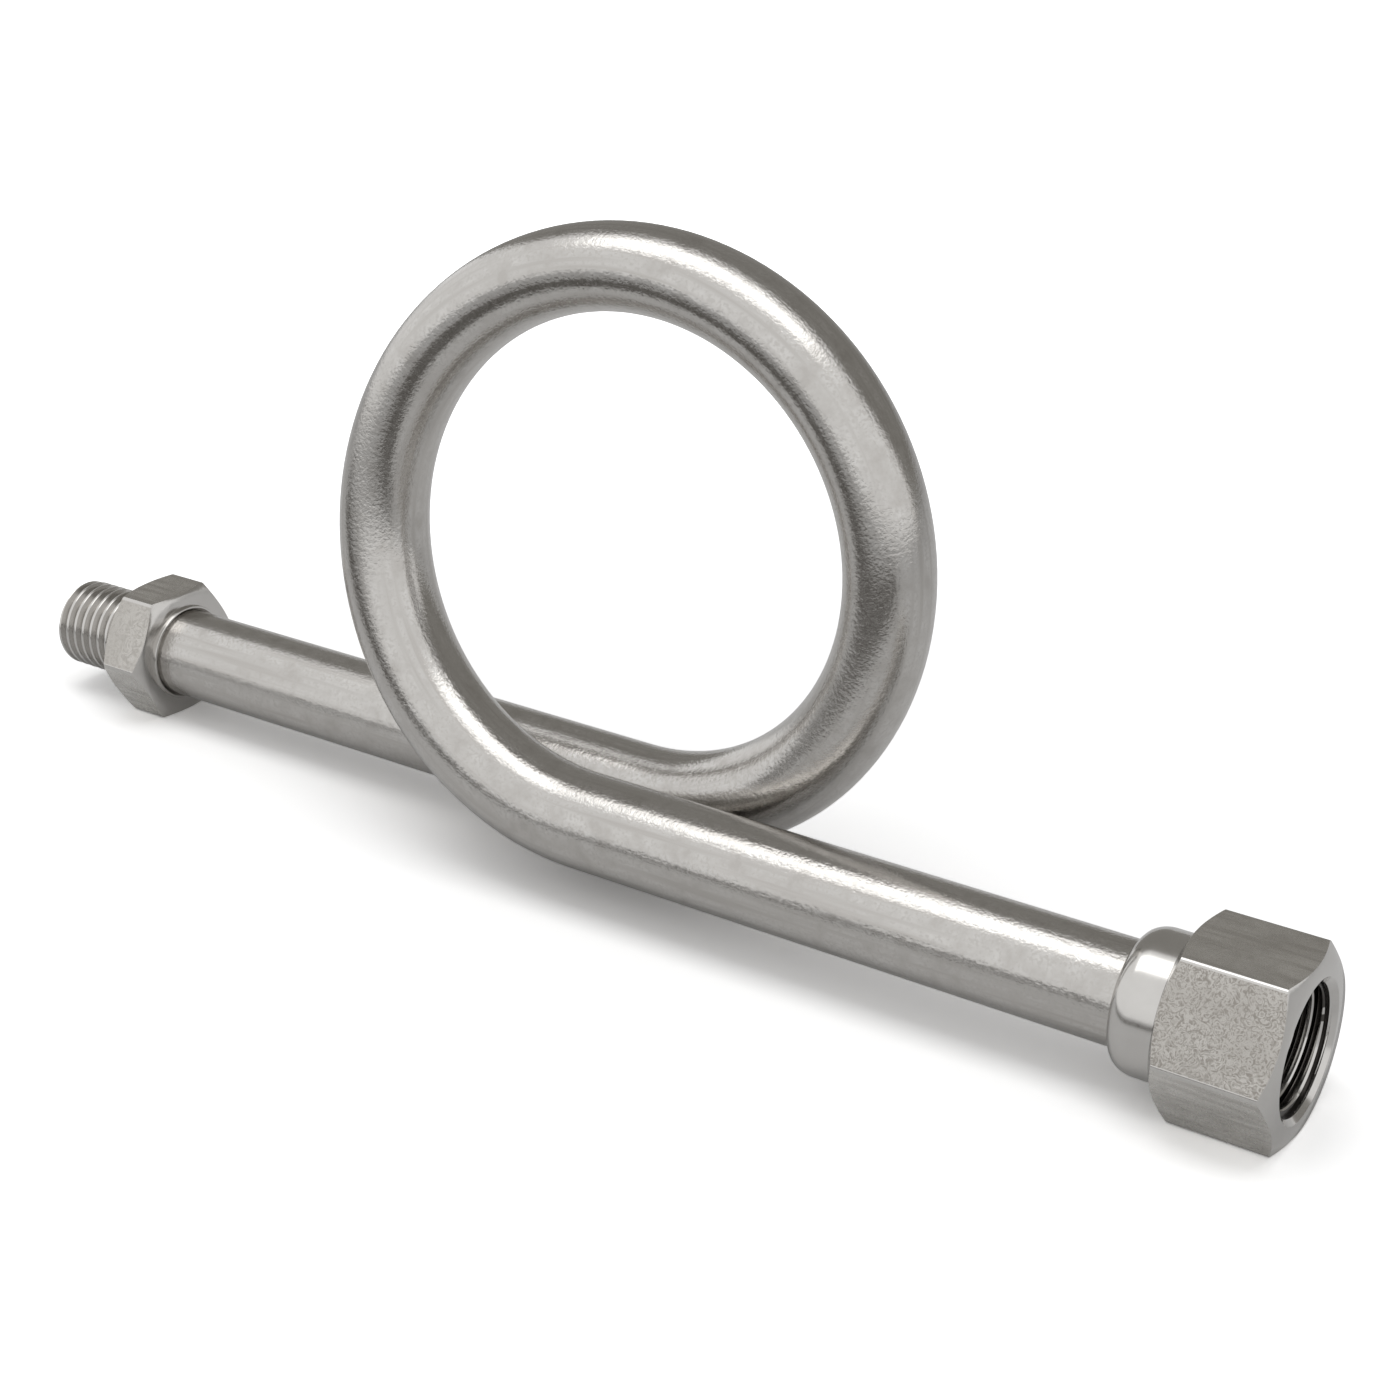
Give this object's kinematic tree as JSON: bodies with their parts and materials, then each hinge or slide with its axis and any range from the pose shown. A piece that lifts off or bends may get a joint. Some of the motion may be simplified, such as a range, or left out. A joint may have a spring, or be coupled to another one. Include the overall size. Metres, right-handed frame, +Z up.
{
  "type": "pressure gauge siphon",
  "caption": "Steel pipe bent through one full turn between two straight legs, with a male threaded hex connector at one end and a larger female threaded hex connector at the other.",
  "frame": {"origin": "middle of the overall footprint, on the bench that the two hexagons lie on", "axes": "+X along both straight legs towards the female gauge end, +Z up from the bench, +Y to the side of the male leg"},
  "size_m": [0.2522, 0.0452, 0.1067],
  "materials": {
    "pipe_steel": "pickled satin stainless pipe, fine grain, lighter bands along the bend",
    "turned_steel": "stainless bar: drawn flats, smooth turned chamfers, bores and threads"
  },
  "bodies": {
    "root": {"siphon_tube": "pipe_steel", "male_connector": "turned_steel", "female_connector": "turned_steel"}
  },
  "joints": []
}
